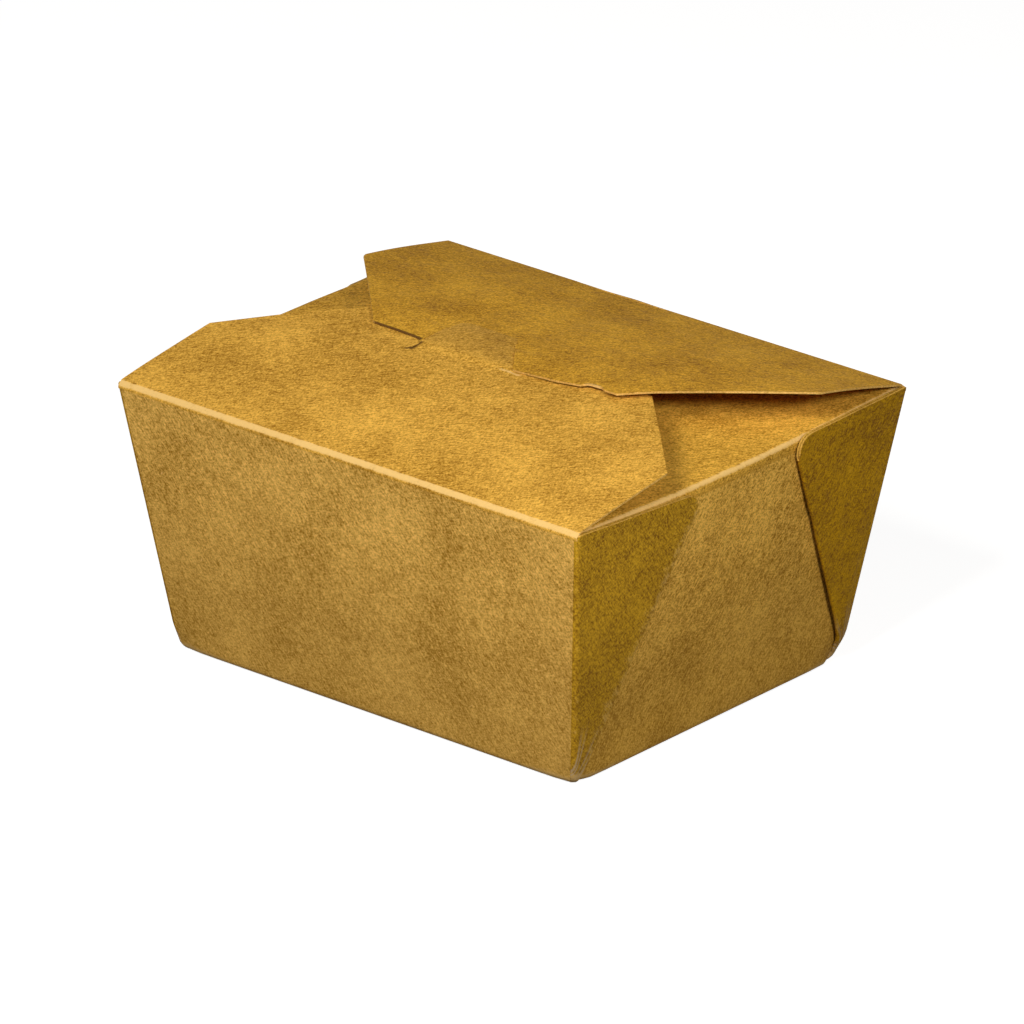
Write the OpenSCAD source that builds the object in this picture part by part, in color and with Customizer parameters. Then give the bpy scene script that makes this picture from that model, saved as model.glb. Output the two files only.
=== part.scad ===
// Fold-top takeaway carton of brown kraft board. One die-cut sheet is folded
// into a tapered tray with web corners outside its end walls, two end flaps
// that lie inside, and a front and a back lid flap that lock into each other.
// Millimetres, +Z up. The front wall faces -Y. The origin is the middle of the
// underside.

/* [Tray] */
// Length of the bottom, outside
base_length = 113; // [100:0.5:120]
// Width of the bottom, outside
base_width = 92; // [82:0.5:100]
// Length across the rim, outside
rim_length = 130; // [122:0.5:140]
// Width across the rim, outside
rim_width = 113; // [106:0.5:122]
// Height of the lid folds above the underside
rim_height = 64; // [50:0.5:80]
// Thickness of the board
board = 0.45; // [0.35:0.01:0.55]
// Outer radius of the folds round the bottom
bottom_fold = 1.8; // [1.2:0.1:3]

/* [Corner webs] */
// Crevice beside each layer of a folded web
crevice = 0.12; // [0.06:0.01:0.2]
// Angle by which a front web's top edge falls away from the rim
front_web_fall = 4; // [2:0.5:8]
// Angle by which a back web's top edge falls away from the rim
back_web_fall = 0.5; // [0:0.5:4]
// Angle by which a back web's middle fold lies nearer to its corner
back_web_tuck = 2.6; // [0:0.1:4]
// Radius of a web's inner top corner
web_corner = 4; // [1:0.5:8]
// Angle at which the front webs stand off the end walls
front_web_lift = 0.3; // [0:0.1:2]
// Angle at which the back webs stand off the end walls
back_web_lift = 1.4; // [0:0.1:3]

/* [End flaps] */
// Outer radius of the fold at an end wall's rim
end_fold = 1.2; // [0.8:0.1:1.8]
// Depth of the end folds below the lid folds
end_drop = 0.6; // [0.2:0.1:1.5]
// Reach of an end flap from its fold
end_flap_reach = 42; // [30:0.5:48]
// Width of an end flap at its free end
end_flap_tip = 72; // [50:0.5:76]
// Radius of an end flap's free corners
end_flap_corner = 9; // [3:0.5:14]
// Angle at which an end flap rises inwards
end_flap_rise = 3; // [0:0.1:3.5]

/* [Lid flaps] */
// Outer radius of the folds that carry the lid flaps
lid_fold = 0.7; // [0.5:0.05:1]
// Clearance between a lid fold and the wall below it
fold_gap = 0.15; // [0.1:0.01:0.3]
// Inset of a lid flap's sides from the ends of the rim
lid_inset = 0.6; // [0.3:0.05:1.5]
// Rise of the lid's ridge above its folds
ridge_rise = 7.3; // [6:0.1:9]
// Length of a lid flap's straight sides
lid_side = 29.5; // [22:0.5:34]
// Half length of the lid's free ends
lid_end_half = 33.5; // [28:0.5:38]
// Reach of the back flap's wings past the ridge
wing_lap = 7.5; // [5:0.1:9]
// Lift of the back flap's right corner
corner_lift = 2.2; // [0:0.1:4]
// Clearance between lid flaps that lie on each other
lap_gap = 0.25; // [0.15:0.01:0.4]
// Gap between the front flap's wings and the ridge
ridge_gap = 0.4; // [0.2:0.05:1]

/* [Lock] */
// Distance of the tongue's left side from the middle
tongue_left = 17.4; // [14:0.1:20]
// Distance of the tongue's right side from the middle at its root
tongue_root_right = 7.4; // [5:0.1:10]
// Distance of the tongue's right corner to the left of the middle
tongue_tip_right = 4.3; // [2:0.1:7]
// Distance of the tongue's root from the ridge
tongue_root = 9.2; // [8:0.1:11]
// Reach of the tongue past the ridge
tongue_reach = 6.4; // [5:0.1:9]
// Reach of the notch under the tongue past the ridge
notch_reach = 2.5; // [1:0.1:3.5]
// Radius of the tongue's corners
tongue_corner = 2; // [0.5:0.1:3]
// Width of the slits beside the tongue
slit = 0.35; // [0.25:0.01:0.5]
// Radius of the hooked end of the left slit
hook_radius = 3.6; // [2.5:0.1:4.5]

/* [Hidden] */
$fn = 96;
big = 400;
lean_end = atan((rim_length - base_length) / 2 / rim_height);
lean_front = atan((rim_width - base_width) / 2 / rim_height);
slant_end = rim_height / cos(lean_end);
slant_front = rim_height / cos(lean_front);
// Two layers of web and the crevices beside them lie outside an end wall
web_stack = 2 * (board + crevice);
// Angles of the sloping corner line in the end wall and in the front wall
corner_in_end = atan((rim_width - base_width) / 2 / slant_end);
corner_in_front = atan((rim_length - base_length) / 2 / slant_front);
// A web folds in half along the line that halves its corner of the sheet
web_half = (90 - corner_in_end - corner_in_front) / 2;
web_slack = 0.4;
corner_length = norm([(rim_width - base_width) / 2, slant_end]);
// Round folds stay this much under the flat faces that they run out of
skin_gap = 0.03;
// Straight pieces in each round corner of an outline
arc_steps = 8;
// Axis of the lid folds
fold_z = rim_height - lid_fold;
fold_y = base_width / 2 + fold_z * tan(lean_front) - lid_fold / cos(lean_front);
lid_half = rim_length / 2 - lid_inset;
// The webs' top corners are cut back by this much to clear the lid folds
fold_notch = 2 * lid_fold + fold_gap + lap_gap;
// Centre of the fold at an end wall's rim
end_z = rim_height - end_drop - end_fold;
end_x = (base_length / 2 + end_z * tan(lean_end)) - (web_stack + end_fold) / cos(lean_end);
end_wall_top = end_z - end_fold * sin(lean_end);
end_flap_base = fold_y - lid_fold - lap_gap;
// Flaps that lie on each other are one board and one clearance apart
nest = board + lap_gap;
// A lid flap leaves the common roof line over this distance from its fold
ease_in = 25;
// The tongue starts to climb here, before the ridge
ramp_start = -7;
// The back flap dips towards the tongue's sides over this distance
dip_fade = 9;
// The back flap's rows are closer together up to here past the ridge
fine_rows = 12;
// Exponent of the roof line: 1 is a sharp ridge, 2 a round one
roof_power = 1.5;
// Centre of the hook before the tongue's root, and where its slit ends, in hook radii
hook_back = 0.8;
hook_end = 0.3;

// Smooth step from 0 to 1 as t goes from 0 to 1
function ease(t) = let (c = min(max(t, 0), 1)) c * c * (3 - 2 * c);

// Height of the lid's common roof line above the folds
function roof(y) = ridge_rise * (1 - pow(min(abs(y) / fold_y, 1), roof_power));

// X of the tongue's right side at a distance y past the ridge
function tongue_side(y) =
    let (t = (y + tongue_root) / (tongue_root + tongue_reach))
    tongue_root_right - min(max(t, 0), 1) * (tongue_root_right + tongue_tip_right);

// Middle of the front flap: below the roof line, its tongue climbing above it
function front_z(y, raised) =
    fold_z + lid_fold - board / 2 + roof(y)
    + nest / 2 * ease((y + fold_y) / ease_in)
    * (2 * raised * ease((y - ramp_start) / (notch_reach - ramp_start)) - 1);

// Middle of the back flap: above the roof line, dipping under the tongue
function back_z(x, y) =
    let (inside = ease((x + tongue_left + dip_fade) / dip_fade)
            * ease((tongue_side(y) + slit + dip_fade - x) / dip_fade),
        past = ease((y + ridge_gap) / (notch_reach + ridge_gap)),
        far = ease((fold_y - y) / ease_in),
        lift = corner_lift * ease(x / lid_half) * min((fold_y - y) / lid_side, 1))
    fold_z + lid_fold - board / 2 + roof(y) + lift + nest / 2 * far * (1 - 2 * inside * past);

// Points of the arc about c from p to q, the short way round
function arc(c, p, q) =
    let (u = p - c, v = q - c, turn = atan2(cross(u, v), u * v))
    [for (k = [0 : arc_steps]) let (t = turn * k / arc_steps)
        c + [u.x * cos(t) - u.y * sin(t), u.x * sin(t) + u.y * cos(t)]];

// Centre of the round corner of radius r at b, between a and c
function corner_centre(a, b, c, r) =
    let (p = (a - b) / norm(a - b), q = (c - b) / norm(c - b), m = p + q,
        half = acos(p * q) / 2)
    b + m / norm(m) * r / sin(half);

// Where that corner's arc leaves the side that goes from b to a
function corner_tangent(a, b, c, r) =
    let (p = (a - b) / norm(a - b), q = (c - b) / norm(c - b), half = acos(p * q) / 2)
    b + p * r / tan(half);

// Outline with convex corners rounded to radii r, and sharp ones where r is 0
module rounded(points, radii) {
    n = len(points);
    polygon([for (i = [0 : n - 1])
        let (a = points[(i + n - 1) % n], b = points[i], c = points[(i + 1) % n])
        for (p = radii[i] > 0
            ? arc(corner_centre(a, b, c, radii[i]),
                corner_tangent(a, b, c, radii[i]), corner_tangent(c, b, a, radii[i]))
            : [b]) p]);
}

// Upright section of the tray: a trapezium with round bottom corners, inset by skin
module tray_section(half_base, half_rim, top, skin) {
    lean = atan((half_rim - half_base) / rim_height);
    centre = half_base - bottom_fold * (1 - sin(lean)) / cos(lean);
    r = bottom_fold - skin;
    side = [centre + r * cos(lean), bottom_fold - r * sin(lean)];
    crown = side + (top - side.y) * [tan(lean), 1];
    polygon(concat(arc([centre, bottom_fold], [centre, skin], side), [crown, [-crown.x, crown.y]],
        arc([-centre, bottom_fold], [-side.x, side.y], [-centre, skin])));
}

// Solid inside of the tray's outer faces, its end faces inset and all inset by skin
module tray_block(end_inset, skin, top) {
    inset = end_inset / cos(lean_end);
    intersection() {
        rotate([90, 0, 0])
            linear_extrude(big, center = true)
                tray_section(base_length / 2 - inset, rim_length / 2 - inset, top, skin);
        rotate([90, 0, 90])
            linear_extrude(big, center = true)
                tray_section(base_width / 2, rim_width / 2, top, skin);
    }
}

// Puts a shape drawn in an end wall's plane there: X along the wall, Y up it, Z outwards
module on_end_wall() {
    translate([base_length / 2 - web_stack / cos(lean_end), 0, 0])
        rotate([0, lean_end, 0])
            rotate([90, 0, 90])
                children();
}

// Frame of the back corner line of the right end wall: Y up the line, X towards the
// middle of the wall, Z outwards
module on_corner_line() {
    on_end_wall()
        translate([base_width / 2 - web_stack / cos(lean_front), 0, 0])
            rotate([0, 0, -corner_in_end])
                mirror([1, 0, 0])
                    children();
}

// Round fold between the front or back wall and a web, trimmed to the tray's outside
module corner_fold() {
    r = web_stack - skin_gap;
    section = concat(arc([0, 0], [-sqrt(r * r - board * board / 4), -board / 2],
        [board, sqrt(r * r - board * board)]), [[board, -board / 2]]);
    intersection() {
        tray_block(0, 0, rim_height);
        on_corner_line()
            translate([0, -bottom_fold, 0])
                rotate([-90, 0, 0])
                    linear_extrude(corner_length + bottom_fold - fold_notch)
                        mirror([0, 1])
                            polygon(section);
    }
}

// Web against the back half of the right end wall, folded at an angle of half from its corner
module web(half, fall, lift) {
    lie = half - corner_in_end;
    run = (rim_width - base_width) / 2;
    diagonal = (slant_end - web_slack - run * tan(fall)) / (cos(lie) + sin(lie) * tan(fall));
    tip = diagonal * [sin(half), cos(half)];
    foot = bottom_fold * [tan(half), 1];
    fold_r = board + crevice / 2;
    fold_start = bottom_fold / cos(half) + 2 * skin_gap;
    fold_end = diagonal - web_corner / tan(half) - 2 * skin_gap;
    on_corner_line()
        rotate([0, -lift, 0])
            translate([0, 0, crevice]) {
                // The two layers
                for (layer = [0, 1])
                    translate([0, 0, layer * (board + crevice)])
                        linear_extrude(board)
                            rounded([[0, foot.y], [0, corner_length - fold_notch],
                                    [fold_notch, corner_length - web_slack], tip, foot],
                                [0, 0, 0, web_corner, 0]);
                // The fold between them
                translate([0, 0, fold_r])
                    rotate([0, 0, -half])
                        translate([0, fold_start, 0])
                            rotate([-90, 0, 0])
                                cylinder(r = fold_r - skin_gap, h = fold_end - fold_start);
            }
}

// End flap with the fold that joins it to the right end wall
module end_flap() {
    half_base = end_flap_base;
    half_tip = end_flap_tip / 2;
    translate([end_x, 0, end_z]) {
        rotate([90, 0, 0])
            linear_extrude(2 * half_base, center = true)
                difference() {
                    circle(end_fold);
                    circle(end_fold - board);
                    rotate(-lean_end)
                        translate([-big, -2 * big])
                            square([2 * big, 2 * big]);
                    rotate(-end_flap_rise)
                        translate([-2 * big, -big])
                            square([2 * big, 2 * big]);
                }
        rotate([0, end_flap_rise, 0])
            translate([0, 0, end_fold - board])
                linear_extrude(board)
                    rounded([[0, -half_base], [0, half_base],
                            [-end_flap_reach, half_tip], [-end_flap_reach, -half_tip]],
                        [0, 0, end_flap_corner, end_flap_corner]);
    }
}

// Bottom and four walls, with seats for the lid folds
module tray() {
    wall_inside = base_width / 2 + end_wall_top * tan(lean_front) - board / cos(lean_front);
    difference() {
        tray_block(web_stack, 0, fold_z);
        tray_block(web_stack, board, big / 4);
        // The end walls stop where their folds begin
        for (s = [0, 1])
            mirror([s, 0, 0])
                translate([end_x, -wall_inside, end_z])
                    rotate([0, lean_end, 0])
                        translate([-2 * end_fold, 0, 0])
                            cube([4 * end_fold, 2 * wall_inside, big / 4]);
        for (s = [-1, 1])
            translate([0, s * fold_y, fold_z])
                rotate([0, 90, 0])
                    cylinder(r = lid_fold + fold_gap, h = rim_length, center = true);
    }
}

// The tray, its webs and its end flaps, folded from one sheet
module box_body() {
    color("#b0823a") {
        tray();
        for (s = [0, 1])
            mirror([s, 0, 0]) {
                end_flap();
                corner_fold();
                web(web_half - back_web_tuck, back_web_fall, back_web_lift);
                mirror([0, 1, 0]) {
                    corner_fold();
                    web(web_half, front_web_fall, front_web_lift);
                }
            }
    }
}

// Closed sheet on a grid of middle points, board thick along Z
module sheet(grid) {
    rows = len(grid);
    cols = len(grid[0]);
    half = [0, 0, board / 2];
    middle = [for (row = grid) for (p = row) p];
    n = rows * cols;
    top_faces = [for (j = [0 : rows - 2]) for (i = [0 : cols - 2])
        let (a = j * cols + i, b = a + cols)
        for (f = [[a, b, b + 1], [a, b + 1, a + 1]]) f];
    low_faces = [for (f = top_faces) [n + f[0], n + f[2], n + f[1]]];
    rim = concat([for (i = [0 : cols - 1]) i],
        [for (j = [1 : rows - 1]) j * cols + cols - 1],
        [for (i = [cols - 2 : -1 : 0]) (rows - 1) * cols + i],
        [for (j = [rows - 2 : -1 : 1]) j * cols]);
    m = len(rim);
    side_faces = [for (i = [0 : m - 1])
        let (a = rim[i], b = rim[(i + 1) % m]) [n + a, a, b, n + b]];
    polyhedron(concat([for (p = middle) p + half], [for (p = middle) p - half]),
        concat(top_faces, low_faces, side_faces), convexity = 6);
}

// Round bar of a lid fold along the axis at y
module fold_bar(y) {
    translate([0, y, fold_z])
        rotate([0, 90, 0])
            cylinder(r = lid_fold, h = 2 * lid_half, center = true);
}

// Plan of the front flap, with its tongue and the slits beside it
module front_plan() {
    shoulder = (fold_y - lid_side - ridge_gap) * (lid_half - lid_end_half)
        / (fold_y - lid_side + wing_lap);
    hook = [-tongue_left - slit / 2 - hook_radius, -tongue_root - hook_radius * hook_back];
    difference() {
        union() {
            polygon([[-lid_half, -fold_y], [lid_half, -fold_y],
                [lid_half, lid_side - fold_y], [lid_half - shoulder, -ridge_gap],
                [shoulder - lid_half, -ridge_gap], [-lid_half, lid_side - fold_y]]);
            rounded([[-tongue_left, -2 * tongue_root], [tongue_root_right, -2 * tongue_root],
                    [tongue_root_right, -tongue_root], [-tongue_tip_right, tongue_reach],
                    [-tongue_left, tongue_reach]],
                [0, 0, 0, tongue_corner, tongue_corner]);
        }
        // Slit on the right, along the tongue's slanting side
        polygon([[tongue_root_right, -tongue_root], [tongue_root_right + slit, -tongue_root],
            [tongue_side(0) + slit, 0], [tongue_side(0), 0]]);
        // Slit on the left, with its hooked end
        translate([-tongue_left - slit, hook.y])
            square([slit, -hook.y]);
        translate(hook)
            intersection() {
                difference() {
                    circle(hook_radius + slit / 2);
                    circle(hook_radius - slit / 2);
                }
                polygon([[0, 0], [2 * hook_radius, 0], [2 * hook_radius, -2 * hook_radius],
                    [hook_radius * hook_end, -2 * hook_radius]]);
            }
    }
}

// Front lid flap, with the tongue of the lock
module front_flap() {
    wing_rows = 11;
    lock_rows = 8;
    rows = concat([for (k = [0 : wing_rows - 1]) -fold_y + k * (fold_y - tongue_root) / wing_rows],
        [for (k = [0 : lock_rows]) -tongue_root + k * (tongue_root + tongue_reach + 1) / lock_rows]);
    wing_steps = 3;
    tongue_steps = 4;
    color("#c29040") {
        fold_bar(-fold_y);
        intersection() {
            translate([0, 0, rim_height / 2])
                linear_extrude(rim_height)
                    front_plan();
            sheet([for (y = rows) let (left = -tongue_left, right = tongue_side(y)) concat(
                [for (k = [0 : wing_steps]) let (x = -lid_half - 1
                    + k * (left - slit + lid_half + 1) / wing_steps) [x, y, front_z(y, 0)]],
                [for (k = [0 : tongue_steps]) let (x = left
                    + k * (right - left) / tongue_steps) [x, y, front_z(y, 1)]],
                [for (k = [0 : wing_steps]) let (x = right + slit
                    + k * (lid_half + 1 - right - slit) / wing_steps) [x, y, front_z(y, 0)]])]);
        }
    }
}

// Plan of the back flap, with the notch that the tongue lies over
module back_plan() {
    wing_edge = tongue_root - wing_lap;
    polygon([[-lid_half, fold_y], [-lid_half, fold_y - lid_side],
        [-lid_end_half, -wing_lap], [-tongue_left - slit - 2 * wing_edge, -wing_lap],
        [-tongue_left - slit, -tongue_root], [-tongue_left - slit, notch_reach],
        [tongue_side(notch_reach) + slit, notch_reach], [tongue_root_right + slit, -tongue_root],
        [lid_end_half, -wing_lap], [lid_half, fold_y - lid_side], [lid_half, fold_y]]);
}

// Back lid flap, its wings over the front flap and its middle under the tongue
module back_flap() {
    depth_rows = 10;
    lock_rows = 10;
    columns = 26;
    start = -tongue_root - 1;
    rows = concat([for (k = [0 : lock_rows - 1]) start + k * (fine_rows - start) / lock_rows],
        [for (k = [0 : depth_rows]) fine_rows + k * (fold_y - fine_rows) / depth_rows]);
    color("#a87a34") {
        fold_bar(fold_y);
        intersection() {
            translate([0, 0, rim_height / 2])
                linear_extrude(rim_height)
                    back_plan();
            sheet([for (y = rows) [for (k = [0 : columns])
                let (x = -lid_half - 1 + k * 2 * (lid_half + 1) / columns) [x, y, back_z(x, y)]]]);
        }
    }
}

box_body();
front_flap();
back_flap();
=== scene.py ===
"""Dresses the fold-top takeaway carton: folded kraft board, light, floor and camera."""

from __future__ import annotations

import logging
import math
from dataclasses import dataclass
from enum import Enum
from typing import Callable

import bmesh
import bpy
from mathutils import Matrix, Vector, noise

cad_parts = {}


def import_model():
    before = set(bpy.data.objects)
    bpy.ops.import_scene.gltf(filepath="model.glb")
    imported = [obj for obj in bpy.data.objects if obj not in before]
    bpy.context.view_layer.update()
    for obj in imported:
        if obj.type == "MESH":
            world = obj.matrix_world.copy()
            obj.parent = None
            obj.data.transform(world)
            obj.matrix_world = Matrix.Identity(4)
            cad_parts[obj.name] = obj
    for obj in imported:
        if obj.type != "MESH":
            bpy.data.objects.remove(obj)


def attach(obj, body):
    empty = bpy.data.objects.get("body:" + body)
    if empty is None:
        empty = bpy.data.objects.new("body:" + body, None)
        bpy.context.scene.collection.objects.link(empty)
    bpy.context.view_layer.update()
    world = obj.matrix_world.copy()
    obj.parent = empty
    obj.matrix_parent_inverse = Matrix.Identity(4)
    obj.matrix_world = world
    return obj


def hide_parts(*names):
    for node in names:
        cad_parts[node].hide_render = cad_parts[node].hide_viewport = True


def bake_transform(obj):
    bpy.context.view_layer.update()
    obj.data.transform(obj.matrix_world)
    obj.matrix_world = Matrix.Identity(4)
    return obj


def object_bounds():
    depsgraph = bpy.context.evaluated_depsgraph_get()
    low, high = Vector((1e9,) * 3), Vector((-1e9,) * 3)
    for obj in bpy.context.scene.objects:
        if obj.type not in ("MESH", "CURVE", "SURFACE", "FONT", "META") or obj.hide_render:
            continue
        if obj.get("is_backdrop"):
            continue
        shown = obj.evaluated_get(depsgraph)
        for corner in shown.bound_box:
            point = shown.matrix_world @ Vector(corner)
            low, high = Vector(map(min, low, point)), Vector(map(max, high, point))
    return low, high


LOG = logging.getLogger("carton")
MM = 0.001

Plan = tuple[float, float]
Triple = tuple[float, float, float]
Fold = Callable[[float, float], Vector]
Mark = Callable[[float, float], float]


def clamp(t: float) -> float:
    """The value from 0 to 1 that is nearest to t."""
    return min(max(t, 0.0), 1.0)


def ease(t: float) -> float:
    """Smooth step from 0 to 1 as t goes from 0 to 1."""
    c = clamp(t)
    return c * c * (3 - 2 * c)


def mix(a: float, b: float, t: float) -> float:
    """Value at the share t of the way from a to b."""
    return a + (b - a) * t


def ripple(x: float, y: float, z: float) -> float:
    """Smooth random value between -1 and 1 at a place in wave lengths."""
    return noise.noise(Vector((x, y, z)))


def heading(azimuth: float, elevation: float) -> Vector:
    """Direction at two angles in radians: from the front towards the right, and upwards."""
    level = math.cos(elevation)
    return Vector((math.sin(azimuth) * level, -math.cos(azimuth) * level, math.sin(elevation)))


class End(Enum):
    """The two short ends of the carton, as the sign of X."""

    RIGHT = 1
    LEFT = -1


class Side(Enum):
    """The two long sides of the carton, as the sign of Y."""

    FRONT = -1
    BACK = 1


@dataclass(frozen=True)
class CartonSizes:
    """Sizes of the carton in millimetres and degrees.

    They are the part's own, but for the lock and the back webs, which are fitted closer to the photo.
    """

    base_length: float = 113.0
    base_width: float = 92.0
    rim_length: float = 130.0
    rim_width: float = 113.0
    rim_height: float = 64.0
    board: float = 0.45
    bottom_fold: float = 1.8
    crevice: float = 0.12
    front_web_fall: float = 4.0
    back_web_fall: float = 0.5
    back_web_tuck: float = 2.6
    web_corner: float = 4.0
    front_web_lift: float = 0.3
    back_web_lift: float = 0.5
    web_slack: float = 0.4
    end_fold: float = 1.2
    end_drop: float = 0.6
    end_flap_reach: float = 42.0
    end_flap_tip: float = 72.0
    end_flap_corner: float = 9.0
    end_flap_rise: float = 3.0
    lid_fold: float = 0.7
    lid_inset: float = 0.6
    ridge_rise: float = 7.3
    lid_side: float = 29.5
    lid_end_half: float = 33.5
    wing_lap: float = 7.5
    corner_lift: float = 1.7
    edge_dip: float = 0.55
    lap_gap: float = 0.25
    ridge_gap: float = 0.4
    tongue_left: float = 19.0
    tongue_root_right: float = 7.4
    tongue_tip_right: float = 4.3
    tongue_root: float = 9.2
    tongue_reach: float = 6.4
    notch_reach: float = 2.5
    tongue_corner: float = 2.0
    slit: float = 0.06
    hook_radius: float = 2.3
    ease_in: float = 25.0
    flush: float = 0.12
    over: float = 0.17
    under: float = -0.3
    dip_fade: float = 9.0
    roof_power: float = 1.5
    climb_start: Plan = (-11.8, -9.4)
    climb_run: Plan = (4.4, 2.8)
    crest_run: float = 2.9
    dip_start: float = 34.0
    corner_crush: float = 0.5
    worn_corner_crush: float = 1.2
    crush_reach: float = 8.0
    crush_height: float = 7.0
    wall_top: float = 62.3
    end_seam: float = 59.0
    lid_start: float = 0.95

    @property
    def lean_end(self) -> float:
        """Lean of the end walls, in radians."""
        return math.atan((self.rim_length - self.base_length) / 2 / self.rim_height)

    @property
    def lean_front(self) -> float:
        """Lean of the front and back walls, in radians."""
        return math.atan((self.rim_width - self.base_width) / 2 / self.rim_height)

    @property
    def slant_end(self) -> float:
        """Height of an end wall along its slope."""
        return self.rim_height / math.cos(self.lean_end)

    @property
    def slant_front(self) -> float:
        """Height of the front wall along its slope."""
        return self.rim_height / math.cos(self.lean_front)

    @property
    def web_stack(self) -> float:
        """Thickness of a folded web with the crevices beside its layers."""
        return 2 * (self.board + self.crevice)

    @property
    def corner_in_end(self) -> float:
        """Angle of the corner line in the end wall."""
        return math.atan((self.rim_width - self.base_width) / 2 / self.slant_end)

    @property
    def corner_in_front(self) -> float:
        """Angle of the corner line in the front wall."""
        return math.atan((self.rim_length - self.base_length) / 2 / self.slant_front)

    @property
    def web_half(self) -> float:
        """Angle of a folded web at its foot."""
        return (math.pi / 2 - self.corner_in_end - self.corner_in_front) / 2

    @property
    def corner_length(self) -> float:
        """Length of a corner line."""
        return math.hypot((self.rim_width - self.base_width) / 2, self.slant_end)

    @property
    def fold_z(self) -> float:
        """Height of the lid folds' axes."""
        return self.rim_height - self.lid_fold

    @property
    def fold_y(self) -> float:
        """Distance of the lid folds' axes from the middle."""
        return (
            self.base_width / 2
            + self.fold_z * math.tan(self.lean_front)
            - self.lid_fold / math.cos(self.lean_front)
        )

    @property
    def lid_half(self) -> float:
        """Half length of a lid flap at its fold."""
        return self.rim_length / 2 - self.lid_inset

    @property
    def end_z(self) -> float:
        """Height of the axes of the folds at the end walls' rims."""
        return self.rim_height - self.end_drop - self.end_fold

    @property
    def end_x(self) -> float:
        """Distance of those axes from the middle."""
        wall = self.base_length / 2 + self.end_z * math.tan(self.lean_end)
        return wall - (self.web_stack + self.end_fold) / math.cos(self.lean_end)

    @property
    def nest(self) -> float:
        """Distance between the middles of two flaps that lie on each other."""
        return self.board + self.lap_gap

    def roof(self, y: float) -> float:
        """Height of the middle between the lid flaps, which rises from the folds to the ridge."""
        rise = self.ridge_rise * (1 - min(abs(y) / self.fold_y, 1.0) ** self.roof_power)
        return self.fold_z + self.lid_fold - self.board / 2 + rise

    def tongue_side(self, y: float) -> float:
        """X of the tongue's right side at a distance y past the ridge."""
        t = clamp((y + self.tongue_root) / (self.tongue_root + self.tongue_reach))
        return self.tongue_root_right - t * (self.tongue_root_right + self.tongue_tip_right)

    def front_z(self, x: float, y: float, on_tongue: bool) -> float:
        """Height of the front flap's middle, whose tongue climbs out of its slits.

        Args:
            x: Distance to the right of the middle.
            y: Distance past the ridge.
            on_tongue: Whether the point is on the tongue.

        Returns:
            The height in millimetres.
        """
        low = -self.nest / 2 * ease((y + self.fold_y) / self.ease_in)
        climb = 0.0
        if on_tongue:
            share = clamp((x + self.tongue_left) / (self.tongue_left + self.tongue_root_right))
            start, run = mix(*self.climb_start, share), mix(*self.climb_run, share)
            top = mix(self.flush, self.over, ease((y + self.ridge_gap) / self.crest_run))
            climb = (top - low) * ease((y - start) / run)
        return self.roof(y) + low + climb

    def back_z(self, x: float, y: float) -> float:
        """Height of the back flap's middle, which dips to the slits and under the tongue.

        Args:
            x: Distance to the right of the middle.
            y: Distance behind the ridge.

        Returns:
            The height in millimetres.
        """
        inside = ease((x + self.tongue_left + self.dip_fade) / self.dip_fade) * ease(
            (self.tongue_side(y) + self.slit + self.dip_fade - x) / self.dip_fade
        )
        past = ease((y + self.ridge_gap) / (self.notch_reach + self.ridge_gap))
        far = ease((self.fold_y - y) / self.ease_in)
        from_fold = (self.fold_y - y) / self.lid_side
        lift = self.corner_lift * ease(x / self.lid_half) * min(from_fold, 1.0)
        along = clamp((x - self.dip_start) / (self.lid_half - self.dip_start))
        lift -= self.edge_dip * math.sin(math.pi * along) * ease(from_fold)
        dipped = mix(self.flush, self.under, past)
        return self.roof(y) + lift + mix(self.nest / 2 * far, dipped, inside)

    def soften(self, point: Vector) -> Vector:
        """Draws a point in where it is close to a bottom corner, as worn board is.

        Args:
            point: A point of the walls or the bottom, in millimetres.

        Returns:
            The point, closer to the middle near a bottom corner.
        """
        half_x = self.base_length / 2 + point.z * math.tan(self.lean_end)
        half_y = self.base_width / 2 + point.z * math.tan(self.lean_front)
        near = (
            ease(1 - (half_x - abs(point.x)) / self.crush_reach)
            * ease(1 - (half_y - abs(point.y)) / self.crush_reach)
            * ease(1 - point.z / self.crush_height)
        )
        worn = point.x > 0 and point.y > 0
        inset = (self.worn_corner_crush if worn else self.corner_crush) * near
        x = point.x - math.copysign(inset, point.x)
        y = point.y - math.copysign(inset, point.y)
        return Vector((x, y, point.z))


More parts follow.
